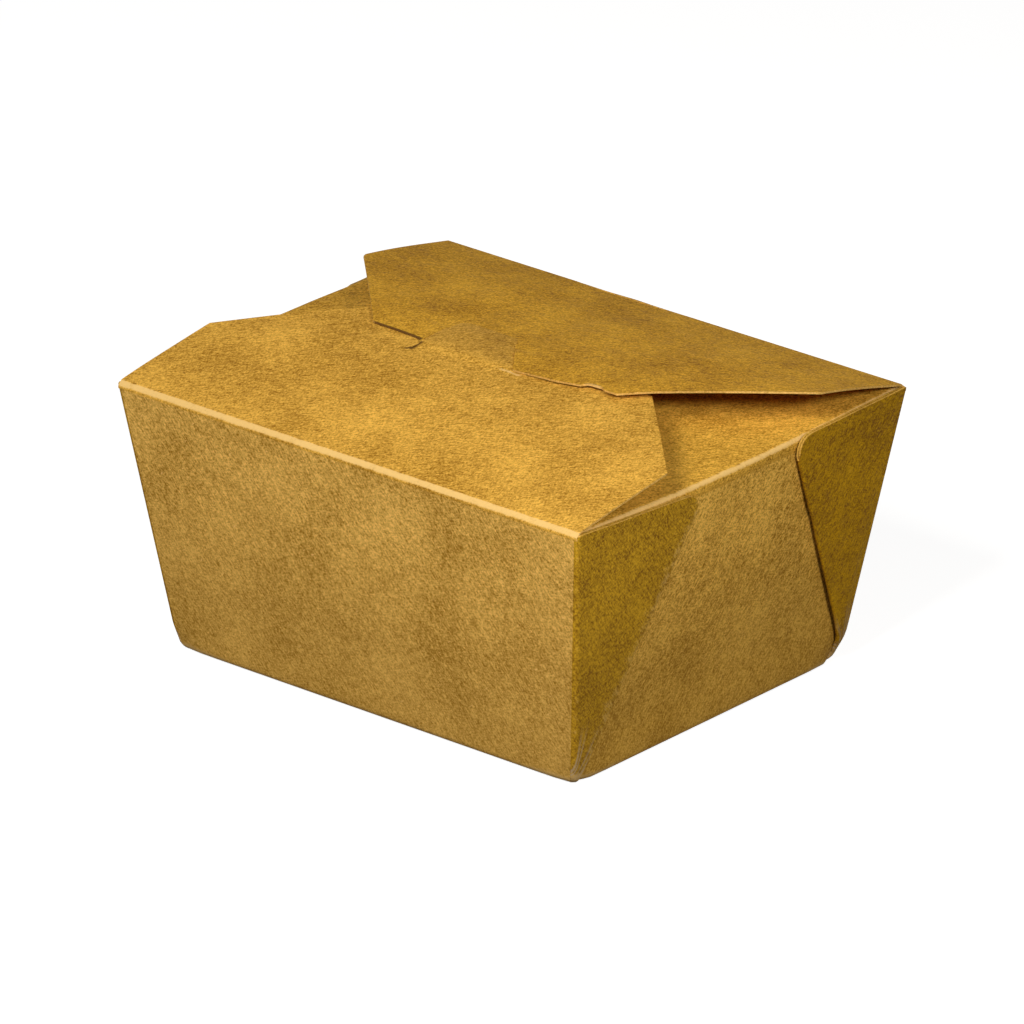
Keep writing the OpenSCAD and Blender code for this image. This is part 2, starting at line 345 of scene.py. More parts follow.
class Nodes:
    """Short hand for building the nodes of a material or of the world."""

    def __init__(self, owner: bpy.types.Material | bpy.types.World) -> None:
        """Empties the owner's tree and gives it an output node.

        Args:
            owner: Material or world that gets the nodes.
        """
        owner.use_nodes = True
        self.owner = owner
        self.tree = owner.node_tree
        self.tree.nodes.clear()
        kind = "World" if isinstance(owner, bpy.types.World) else "Material"
        self.out = self.node("Output" + kind)

    def node(self, kind: str, **inputs: object) -> bpy.types.Node:
        """Adds a node.

        Args:
            kind: Name of the node's class after "ShaderNode".
            inputs: Socket names, with underscores for blanks, and what they get.

        Returns:
            The new node.
        """
        made = self.tree.nodes.new("ShaderNode" + kind)
        for key, value in inputs.items():
            self.feed(made.inputs[key.replace("_", " ")], value)
        return made

    def feed(self, socket: bpy.types.NodeSocket, value: object) -> None:
        """Links an output to a socket, or sets the socket's value.

        Args:
            socket: Input of a node.
            value: Output of another node, or a constant.
        """
        if isinstance(value, bpy.types.NodeSocket):
            self.tree.links.new(value, socket)
        else:
            socket.default_value = value

    def fill(self, made: bpy.types.Node, *values: object) -> bpy.types.NodeSocket:
        """Feeds the first inputs of a node in their order.

        Args:
            made: The node.
            values: Outputs or constants, one for each input.

        Returns:
            The node's first output.
        """
        for socket, value in zip(made.inputs, values):
            self.feed(socket, value)
        return made.outputs[0]

    def surface(self, shader: bpy.types.NodeSocket) -> None:
        """Makes a shader the surface."""
        self.feed(self.out.inputs["Surface"], shader)

    def math(self, operation: str, *values: object) -> bpy.types.NodeSocket:
        """Adds a Math node.

        Args:
            operation: Name of the node's operation.
            values: Outputs or constants.

        Returns:
            The result's output.
        """
        made = self.node("Math")
        made.operation = operation
        return self.fill(made, *values)

    def weigh(self, start: float, *parts: tuple[object, float]) -> bpy.types.NodeSocket:
        """Adds up how far noises lie from their middle.

        Args:
            start: Value where every noise is at its middle.
            parts: Each noise with its weight.

        Returns:
            The sum's output.
        """
        total: object = start
        for value, weight in parts:
            total = self.math("MULTIPLY_ADD", self.math("SUBTRACT", value, 0.5), weight, total)
        return total

    def span(
        self, value: object, low: float, high: float, to_low: float = 0.0, to_high: float = 1.0
    ) -> bpy.types.NodeSocket:
        """Maps a value smoothly from one range to another.

        Args:
            value: Output to map.
            low: Value that gives to_low.
            high: Value that gives to_high.
            to_low: Result at low and beyond it.
            to_high: Result at high and beyond it.

        Returns:
            The mapped output.
        """
        made = self.node("MapRange")
        made.interpolation_type = "SMOOTHSTEP"
        return self.fill(made, value, low, high, to_low, to_high)

    def blend(self, share: object, a: object, b: object) -> bpy.types.NodeSocket:
        """Mixes two colours.

        Args:
            share: How much of b there is, from 0 to 1.
            a: First colour.
            b: Second colour.

        Returns:
            The mixed colour's output.
        """
        made = self.node("Mix")
        made.data_type = "RGBA"
        colours = [s for s in made.inputs if s.type == "RGBA"]
        for socket, value in zip([made.inputs[0], *colours], (share, a, b)):
            self.feed(socket, value)
        return next(s for s in made.outputs if s.type == "RGBA")

    def seen(self) -> bpy.types.NodeSocket:
        """Tells the rays that show a thing from those that light it.

        Returns:
            Output that is 1 for rays from the camera or off gloss and glass, and else 0.
        """
        path = self.node("LightPath")
        seen = path.outputs["Is Camera Ray"]
        for extra in ("Is Glossy Ray", "Is Transmission Ray"):
            seen = self.math("MAXIMUM", seen, path.outputs[extra])
        return seen


@dataclass(frozen=True)
class Grain:
    """One kind of mark in the board, with its marks per metre and its weight in the tone."""

    scale: float | Triple
    detail: float
    rough: float
    weight: float = 0.0

    def noise(self, n: Nodes, place: object, turn: Triple = (0, 0, 0)) -> bpy.types.NodeSocket:
        """Adds the noise of these marks.

        Args:
            n: The material's nodes.
            place: Coordinates on the carton.
            turn: Angles in degrees that turn marks which are longer than wide.

        Returns:
            The noise's output.
        """
        scale = self.scale
        if isinstance(scale, tuple):
            angles = tuple(math.radians(a) for a in turn)
            turned = n.node("Mapping", Vector=place, Rotation=angles)
            place = n.node("Mapping", Vector=turned.outputs[0], Scale=scale).outputs[0]
            scale = 1.0
        made = n.node("TexNoise", Vector=place, Scale=scale, Detail=self.detail, Roughness=self.rough)
        return made.outputs["Fac"]


CLOUD = Grain(62, 2.0, 0.5, 0.75)
MOTTLE = Grain(400, 3.0, 0.6, 0.52)
PULP = Grain(1900, 2.0, 0.65, 1.6)
FIBRE = Grain((480, 2900, 2900), 2.0, 0.6, 1.35)
THREAD = Grain((900, 3100, 3100), 2.0, 0.6, 0.9)
FLECK = Grain((1100, 1100, 500), 1.0, 0.4)
LINT = Grain((560, 1900, 1900), 0.0, 0.3)

# Factors on a finish's base colour
DARK_PULP = (0.43, 0.35, 0.06)
PALE_PULP = (1.51, 1.6, 2.1)
FLECK_SHADE = (0.36, 0.3, 0.25)
LINT_SHADE = (1.6, 1.75, 3.0)
# Painted shade where the wear attribute is below 0
PAINTED_SHADE_TONE = (0.14, 0.11, 0.1)
# Painted shade that darkens the board towards the bottom
PAINTED_FOOT_SHADE_TONE = (0.45, 0.42, 0.3)

# Low and high end of a noise, of the wear or of the painted shade, and what they give
FLECK_SPAN = (0.72, 0.78, 0.0, 0.5)
LINT_SPAN = (0.81, 0.87, 0.0, 0.6)
WORN_SPAN = (0.16, 0.86, 0.0, 0.9)
PAINTED_SHADE_SPAN = (0.1, 0.9, 0.0, 0.9)
ROUGH_SPAN = (0.3, 0.7, 0.74, 0.88)


@dataclass(frozen=True)
class KraftFinish:
    """Uncoated brown kraft board: cloudy pulp, short fibres, flecks and rubbed creases, with painted
    shade where its attribute falls below 0 and, if asked for, towards the bottom.
    """

    name: str
    base: Triple
    turn: Triple = (0.0, 0.0, 35.0)
    cross: Triple = (0.0, 0.0, 70.0)
    contrast: float = 1.0
    rubbed: Triple = (0.79, 0.515, 0.18)
    # Strength of the painted shade at the bottom, and the height where it fades out
    painted_foot_shade: float = 0.0
    painted_foot_shade_height: float = 0.056
    cracked: bool = False
    crack: Triple = (0.5, 0.38, 0.24)
    crack_foot: float = 0.0465
    crack_reach: Plan = (0.016, 0.003)
    crack_rays: float = 1.9
    crack_span: Plan = (0.5, 0.62)
    crack_share: float = 0.65
    bump: float = 0.4
    bump_depth: float = 0.00012
    gloss: float = 0.16

    def shade(self, factors: Triple) -> tuple[float, ...]:
        """The base colour times a factor for each of its channels."""
        return (*(c * k for c, k in zip(self.base, factors)), 1.0)

    def build(self) -> bpy.types.Material:
        """Makes the material.

        Returns:
            The finished material.
        """
        n = Nodes(bpy.data.materials.new(self.name))
        place = n.node("TexCoord").outputs["Object"]
        wear_and_painted_shade = n.node("Attribute")
        wear_and_painted_shade.attribute_name = "wear_and_painted_shade"
        rub = wear_and_painted_shade.outputs["Fac"]
        mottle, pulp = MOTTLE.noise(n, place), PULP.noise(n, place)
        fibre, thread = FIBRE.noise(n, place, self.turn), THREAD.noise(n, place, self.cross)
        noises = (CLOUD.noise(n, place), mottle, pulp, fibre, thread)
        grains = (CLOUD, MOTTLE, PULP, FIBRE, THREAD)
        parts = [(value, grain.weight * self.contrast) for value, grain in zip(noises, grains)]
        colour = n.blend(n.weigh(0.5, *parts), self.shade(DARK_PULP), self.shade(PALE_PULP))
        fleck = n.span(FLECK.noise(n, place, (30, 10, 50)), *FLECK_SPAN)
        colour = n.blend(fleck, colour, self.shade(FLECK_SHADE))
        lint = n.span(LINT.noise(n, place, (20, 40, 10)), *LINT_SPAN)
        colour = n.blend(lint, colour, self.shade(LINT_SHADE))
        worn = n.span(n.weigh(rub, (mottle, 0.9), (fibre, 0.5)), *WORN_SPAN)
        colour = n.blend(worn, colour, (*self.rubbed, 1.0))
        # Painted shade where the attribute is below 0: slits, gaps, the back wing's edge and the
        # tongue
        painted_shade = n.span(n.math("MULTIPLY", rub, -1.0), *PAINTED_SHADE_SPAN)
        colour = n.blend(painted_shade, colour, self.shade(PAINTED_SHADE_TONE))
        colour = self.foot(n, place, colour)
        relief = n.weigh(0.5, (pulp, 1.0), (fibre, 1.0), (thread, 0.6))
        bump = n.node("Bump", Strength=self.bump, Distance=self.bump_depth, Height=relief)
        rough = n.span(mottle, *ROUGH_SPAN)
        shader = n.node(
            "BsdfPrincipled",
            Base_Color=colour,
            Roughness=rough,
            Specular_IOR_Level=self.gloss,
            Normal=bump.outputs[0],
        )
        n.surface(shader.outputs[0])
        n.owner.diffuse_color = (*self.base, 1.0)
        return n.owner

    def foot(
        self, n: Nodes, place: bpy.types.NodeSocket, colour: bpy.types.NodeSocket
    ) -> bpy.types.NodeSocket:
        """Adds the painted shade that darkens the board towards the bottom, and the cracks that fan
        out of the bottom corners.

        Args:
            n: The material's nodes.
            place: Coordinates on the carton.
            colour: Colour of the board so far.

        Returns:
            The colour with dirt and cracks.
        """
        split = n.node("SeparateXYZ", Vector=place)
        height = split.outputs["Z"]
        # Painted shade: darker towards the bottom
        if self.painted_foot_shade > 0:
            painted_foot_mask = n.span(height, self.painted_foot_shade_height, 0.0, 0.0, self.painted_foot_shade)
            colour = n.blend(painted_foot_mask, colour, self.shade(PAINTED_FOOT_SHADE_TONE))
        if self.cracked:
            from_middle = n.math("ABSOLUTE", split.outputs["Y"])
            inwards = n.math("SUBTRACT", self.crack_foot, from_middle)
            angle = n.math("ARCTAN2", inwards, height)
            squares = (n.math("POWER", inwards, 2.0), n.math("POWER", height, 2.0))
            reach = n.math("SQRT", n.math("ADD", *squares))
            rays = n.node("TexNoise")
            rays.noise_dimensions = "1D"
            n.feed(rays.inputs["W"], n.math("MULTIPLY", angle, self.crack_rays))
            ray = n.span(rays.outputs["Fac"], *self.crack_span)
            fade = n.span(reach, *self.crack_reach)
            share = n.math("MULTIPLY", n.math("MULTIPLY", ray, fade), self.crack_share)
            colour = n.blend(share, colour, (*self.crack, 1.0))
        return colour


FRONT_GRAIN = (0.0, -55.0, 0.0)
END_GRAIN = (-50.0, 0.0, -90.0)


class Finish(Enum):
    """The finishes of the carton's board."""

    WALLS = KraftFinish(
        "kraft_walls", (0.645, 0.366, 0.064), FRONT_GRAIN, (0.0, 20.0, 0.0), painted_foot_shade=0.37
    )
    ENDS = KraftFinish(
        "kraft_ends",
        (0.61, 0.338, 0.046),
        END_GRAIN,
        (20.0, 0.0, -90.0),
        contrast=1.3,
        painted_foot_shade=0.5,
    )
    END_FLAPS = KraftFinish("kraft_end_flaps", (0.62, 0.33, 0.034), (0.0, 0.0, -50.0))
    # A darker copy of the board on the front webs: painted shade
    WEBS_PAINTED_SHADE = KraftFinish(
        "kraft_webs_painted_shade",
        (0.42, 0.222, 0.008),
        (50.0, 0.0, -90.0),
        (-20.0, 0.0, -90.0),
        contrast=1.25,
        painted_foot_shade=0.3,
        cracked=True,
    )
    # A still darker copy on the back webs: painted shade
    BACK_WEBS_PAINTED_SHADE = KraftFinish(
        "kraft_back_webs_painted_shade",
        (0.375, 0.189, 0.002),
        END_GRAIN,
        (20.0, 0.0, -90.0),
        contrast=1.25,
        painted_foot_shade=0.2,
        cracked=True,
    )
    LID = KraftFinish("kraft_lid", (0.605, 0.32, 0.038), (0.0, 0.0, -40.0))
    # A darker copy of the lid's board on the back flap: painted shade for its slope away from the
    # light
    LID_BACK_PAINTED_SHADE = KraftFinish("kraft_lid_back", (0.545, 0.278, 0.02), (0.0, 0.0, -40.0))
    CUT = KraftFinish("kraft_cut_edge", (0.62, 0.36, 0.075), contrast=0.6)
    # Darker cut edges of the webs: painted shade
    CUT_WEB_PAINTED_SHADE = KraftFinish("kraft_web_edge_painted_shade", (0.5, 0.28, 0.04), contrast=0.6)


class Finishes:
    """Builds each finish once and hands it out."""

    def __init__(self) -> None:
        """Starts with none built."""
        self.made: dict[Finish, bpy.types.Material] = {}

    def pick(self, *finishes: Finish) -> list[bpy.types.Material]:
        """Builds finishes on their first use.

        Args:
            finishes: The finishes of a piece, in the order of its slots.

        Returns:
            Their materials.
        """
        for finish in finishes:
            if finish not in self.made:
                self.made[finish] = finish.value.build()
        return [self.made[finish] for finish in finishes]


class Board:
    """A sheet of board that is scored, folded and given its thickness."""

    edge_round: float = 0.07
    edge_angle: float = 50.0

    def __init__(self, outline: list[Plan]) -> None:
        """Cuts the blank.

        Args:
            outline: Corners of the flat blank in millimetres, anticlockwise, or none for a sheet
                that is made from a solid.
        """
        self.bm = bmesh.new()
        if outline:
            self.bm.faces.new([self.bm.verts.new((x, y, 0.0)) for x, y in outline])
        self.wear_and_painted_shade = self.bm.verts.layers.float.new("wear_and_painted_shade")

    def score(self, normal: Plan | Triple, places: list[float]) -> None:
        """Adds lines across the sheet, along which it can bend.

        Args:
            normal: Direction across the lines.
            places: Distances of the lines from the origin along it.
        """
        across = Vector(normal).to_3d().normalized()
        for place in places:
            everything = self.bm.verts[:] + self.bm.edges[:] + self.bm.faces[:]
            bmesh.ops.bisect_plane(
                self.bm, geom=everything, dist=1e-5, plane_co=across * place, plane_no=across
            )

    def bend(self, fold: Fold, wear_and_painted_shade: Mark) -> None:
        """Moves each point of the flat blank to its place on the carton.

        Args:
            fold: Place in millimetres of a point of the blank.
            wear_and_painted_shade: How rubbed it is, up to 1, or how dark with painted shade, down to
                -1.
        """
        for v in self.bm.verts:
            x, y = v.co.x, v.co.y
            v[self.wear_and_painted_shade] = wear_and_painted_shade(x, y)
            v.co = fold(x, y)

    def turn_over(self) -> None:
        """Turns all faces the other way."""
        bmesh.ops.reverse_faces(self.bm, faces=self.bm.faces[:])

    def place(self, matrix: Matrix) -> None:
        """Moves the folded sheet, and turns its faces back over after a mirror.

        Args:
            matrix: Matrix from the sheet's frame to the carton's.
        """
        bmesh.ops.transform(self.bm, matrix=matrix, verts=self.bm.verts[:])
        if matrix.determinant() < 0:
            self.turn_over()

    def piece(
        self,
        name: str,
        body: str | None,
        slot: str,
        materials: list[bpy.types.Material],
        thickness: float,
        offset: float = 0.0,
    ) -> bpy.types.Object:
        """Gives the board its thickness and finish.

        Args:
            name: Name of the piece.
            body: CAD body that it rides on, or None if it rides on none.
            slot: Slot of the part's materials; not used.
            materials: Face finish, then cut edge finish.
            thickness: Thickness of the board in millimetres.
            offset: Where the thickness goes: 0 both ways, -1 inwards.

        Returns:
            The finished piece.
        """
        bmesh.ops.scale(self.bm, vec=(MM, MM, MM), verts=self.bm.verts[:])
        mesh = bpy.data.meshes.new(name)
        for face in self.bm.faces:
            face.smooth = True
        self.bm.to_mesh(mesh)
        self.bm.free()
        for material in materials:
            mesh.materials.append(material)
        piece = bpy.data.objects.new(name, mesh)
        bpy.context.scene.collection.objects.link(piece)
        shell = piece.modifiers.new("thickness", "SOLIDIFY")
        shell.thickness = thickness * MM
        shell.offset = offset
        shell.use_even_offset = True
        shell.use_quality_normals = True
        shell.material_offset_rim = 1 if len(materials) > 1 else 0
        edge = piece.modifiers.new("edges", "BEVEL")
        edge.width = self.edge_round * MM
        edge.segments = 2
        edge.limit_method = "ANGLE"
        edge.angle_limit = math.radians(self.edge_angle)
        edge.harden_normals = True
        settle(piece)
        if body:
            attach(piece, body)
        LOG.info("%s: %d faces", name, len(piece.data.polygons))
        return piece


def settle(piece: bpy.types.Object) -> None:
    """Applies a piece's modifiers to its mesh.

    Args:
        piece: The piece.
    """
    graph = bpy.context.evaluated_depsgraph_get()
    graph.update()
    settled = bpy.data.meshes.new_from_object(piece.evaluated_get(graph))
    old = piece.data
    piece.modifiers.clear()
    piece.data = settled
    settled.name = piece.name
    bpy.data.meshes.remove(old)


def steps(low: float, high: float, count: int) -> list[float]:
    """Evenly spaced values from low to high, both included."""
    return [mix(low, high, k / count) for k in range(count + 1)]


def arc(centre: Plan, radius: float, start: float, end: float, count: int) -> list[Plan]:
    """Points of an arc.

    Args:
        centre: Centre of the arc.
        radius: Its radius.
        start: Angle of its first point, in degrees.
        end: Angle of its last point.
        count: Number of straight pieces.

    Returns:
        The points, both ends included.
    """
    return [
        (centre[0] + radius * math.cos(a), centre[1] + radius * math.sin(a))
        for a in (math.radians(d) for d in steps(start, end, count))
    ]


def rounded(corners: list[tuple[float, float, float]], count: int = 6) -> list[Plan]:
    """Closed outline with its corners rounded.

    Args:
        corners: X, Y and radius of each corner, the radius 0 for a sharp one.
        count: Straight pieces in each round corner.

    Returns:
        The points of the rounded outline.
    """
    made: list[Plan] = []
    for i, (x, y, radius) in enumerate(corners):
        before, after = corners[i - 1], corners[(i + 1) % len(corners)]
        a, b, c = Vector(before[:2]), Vector((x, y)), Vector(after[:2])
        if radius <= 0:
            made.append((b.x, b.y))
            continue
        p, q = (a - b).normalized(), (c - b).normalized()
        half = math.acos(max(-1.0, min(1.0, p.dot(q)))) / 2
        start, end = b + p * (radius / math.tan(half)), b + q * (radius / math.tan(half))
        centre = b + (p + q).normalized() * (radius / math.sin(half))
        turn = (start - centre).angle_signed(end - centre)
        for t in steps(0.0, 1.0, count):
            arm = (start - centre).copy()
            arm.rotate(Matrix.Rotation(-turn * t, 2))
            made.append((centre.x + arm.x, centre.y + arm.y))
    return made


@dataclass
class Tray:
    """Bottom, front wall, back wall and end walls of the carton."""

    sizes: CartonSizes
    finishes: Finishes
    cell: float = 5.0
    fold_steps: int = 8
    fold_share: float = 0.86
    steep: float = 0.8
    bow: float = 0.22
    foot_bulge: float = 1.35
    foot_height: float = 14.0
    rub_height: float = 0.9
    rub_reach: float = 1.2
    rub_corner: Plan = (84.0, 14.0)
    rub: Plan = (0.25, 0.85)

    def wall_bow(self, point: Vector) -> Vector:
        """Gentle unevenness of the walls.

        Args:
            point: A point of a wall, in millimetres.

        Returns:
            How far the real wall lies from it.
        """
        s = self.sizes
        if abs(point.y) > s.base_width / 2 - 2.5 and abs(point.x) < s.base_length / 2 - 3:
            up = ease(point.z / 12) * ease((s.wall_top - point.z) / 6)
            wave = ripple(point.x / 38, point.y / 38, point.z / 30 + 4.2)
            return Vector((0.0, math.copysign(self.bow, point.y) * wave * up, 0.0))
        half_y = s.base_width / 2 + point.z * math.tan(s.lean_front)
        foot = ease(1 - point.z / self.foot_height) * ease((half_y - abs(point.y)) / 6)
        reach = ease((abs(point.x) - s.base_length / 2 + 6) / 4)
        return Vector((math.copysign(self.foot_bulge * foot * reach, point.x), 0.0, 0.0))

    def build(self) -> bpy.types.Object:
        """Makes the piece.

        Returns:
            The finished piece.
        """
        s = self.sizes
        sheet = Board([])
        bm = sheet.bm
        bmesh.ops.create_cube(bm, size=2.0)
        foot_x = s.base_length / 2 - s.web_stack / math.cos(s.lean_end)
        foot_y = s.base_width / 2
        for v in bm.verts:
            z = s.wall_top if v.co.z > 0 else 0.0
            half_x = foot_x + z * math.tan(s.lean_end)
            half_y = foot_y + z * math.tan(s.lean_front)
            v.co = Vector((math.copysign(half_x, v.co.x), math.copysign(half_y, v.co.y), z))
        mouth = [f for f in bm.faces if f.calc_center_median().z > s.wall_top - 1]
        bmesh.ops.delete(bm, geom=mouth, context="FACES_ONLY")
        bmesh.ops.bevel(
            bm,
            geom=[e for e in bm.edges if all(v.co.z < 1 for v in e.verts)],
            offset=s.bottom_fold * self.fold_share,
            offset_type="OFFSET",
            affect="EDGES",
            segments=self.fold_steps,
            profile=0.5,
            material=-1,
        )
        self.cut(sheet)
        for face in bm.faces:
            face.material_index = 2 if abs(face.normal.x) > self.steep else 0
        start, reach = self.rub_corner
        least, more = self.rub
        for v in bm.verts:
            v.co = s.soften(v.co + self.wall_bow(v.co))
            fold = ease(1 - abs(v.co.z - self.rub_height) / self.rub_reach)
            corner = ease((abs(v.co.x) + abs(v.co.y) - start) / reach)
            v[sheet.wear_and_painted_shade] = fold * (least + more * corner)
        finishes = self.finishes.pick(Finish.WALLS, Finish.CUT, Finish.ENDS, Finish.CUT)
        piece = sheet.piece("tray", "box", "kraft_walls", finishes, s.board, -1.0)
        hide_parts("box_body")
        return piece

    def cut(self, sheet: Board) -> None:
        """Cuts the walls into cells and the end walls to their height.

        Args:
            sheet: The bottom and the walls.
        """
        s = self.sizes
        sheet.score((1, 0, 0), [x * self.cell for x in range(-10, 11)] + [-54, -52, 52, 54])
        sheet.score((0, 1, 0), [y * self.cell for y in range(-8, 9)] + [-44, -42, 42, 44])
        sheet.score((0, 0, 1), [z * self.cell for z in range(1, 12)] + [2.6, 3.7, 7.5, s.end_seam])
        cut_off = []
        for face in sheet.bm.faces:
            middle = face.calc_center_median()
            outside = abs(middle.x) > s.base_length / 2 and abs(face.normal.x) > self.steep
            if outside and middle.z > s.end_seam:
                cut_off.append(face)
        bmesh.ops.delete(sheet.bm, geom=cut_off, context="FACES")


@dataclass
class EndFlap:
    """Top of an end wall, its fold at the rim and the end flap, as one sheet."""

    sizes: CartonSizes
    finishes: Finishes
    end: End
    dip_right: float = 1.3
    dip_left: float = -1.1
    dip_power: float = 1.3
    unevenness: float = 0.12
    rub: float = 0.8
    fold_steps: int = 10

    def build(self) -> bpy.types.Object:
        """Makes the piece.

        Returns:
            The finished piece.
        """
        s = self.sizes
        radius = s.end_fold - s.board / 2
        rise = math.radians(s.end_flap_rise)
        bend_length = radius * (math.radians(90 - s.end_flap_rise) + s.lean_end)
        fold_foot = s.end_z - s.end_fold * math.sin(s.lean_end)
        wall_length = (fold_foot - s.end_seam) / math.cos(s.lean_end)
        half_low = s.base_width / 2 + s.end_seam * math.tan(s.lean_front) - s.board * 0.5
        half_top = s.fold_y - s.lid_fold - s.lap_gap
        half_tip = s.end_flap_tip / 2
        tip = bend_length + s.end_flap_reach
        outline = [
            (-half_low, -wall_length),
            (half_low, -wall_length),
            (half_low + 0.2, -0.9),
            (half_top, 0.3),
            *rounded(
                [
                    (half_top, bend_length, 0),
                    (half_tip, tip, s.end_flap_corner),
                    (-half_tip, tip, s.end_flap_corner),
                    (-half_top, bend_length, 0),
                ]
            ),
            (-half_top, 0.3),
            (-half_low - 0.2, -0.9),
        ]

        def fold(y: float, v: float) -> Vector:
            """Folds the sheet at the rim.

            Args:
                y: Distance along the rim.
                v: Distance up the sheet from the start of its fold.

            Returns:
                The place on the carton.
            """
            out = Vector((math.cos(s.lean_end), 0.0, -math.sin(s.lean_end)))
            up = Vector((math.sin(s.lean_end), 0.0, math.cos(s.lean_end)))
            centre = Vector((s.end_x, 0.0, s.end_z))
            if v < 0:
                p = centre + out * radius + up * v
            elif v < bend_length:
                a = v / radius
                p = centre + out * (radius * math.cos(a)) + up * (radius * math.sin(a))
            else:
                along = Vector((-math.cos(rise), 0.0, math.sin(rise)))
                normal = Vector((math.sin(rise), 0.0, math.cos(rise)))
                p = centre + normal * radius + along * (v - bend_length)
            share = ease((v + 24) / 24) * ease((70 - v) / 60)
            dip = self.dip_right if self.end is End.RIGHT else self.dip_left
            sag = dip * max(0.0, 1 - (y / half_top) ** 2) ** self.dip_power
            wave = self.unevenness * ripple(y / 14, v / 20, self.end.value * 5.0)
            p.z += (wave - sag * share) * ease((v + wall_length) / 2)
            return Vector((self.end.value * p.x, y, p.z))

        def wear_and_painted_shade(y: float, v: float) -> float:
            """Rubbed along the fold."""
            return self.rub * ease(1.15 - abs(v / bend_length - 0.5) * 2)

        board = Board(outline)
        board.score((0, 1), [-2.2, -1.2, -0.5, -0.35, -0.05])
        board.score((0, 1), steps(0, bend_length, self.fold_steps))
        beyond = (0.15, 0.5, 1.5, 3, 5, 8, 12, 16, 20, 25, 30, 35)
        board.score((0, 1), [bend_length + d for d in beyond])
        board.score((1, 0), steps(-50, 50, 25))
        board.bend(fold, wear_and_painted_shade)
        if self.end is End.RIGHT:
            board.turn_over()
        name = f"end_flap_{self.end.name.lower()}"
        finishes = self.finishes.pick(Finish.END_FLAPS, Finish.CUT)
        piece = board.piece(name, "box", "kraft_walls", finishes, s.board)
        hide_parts("box_body")
        return piece


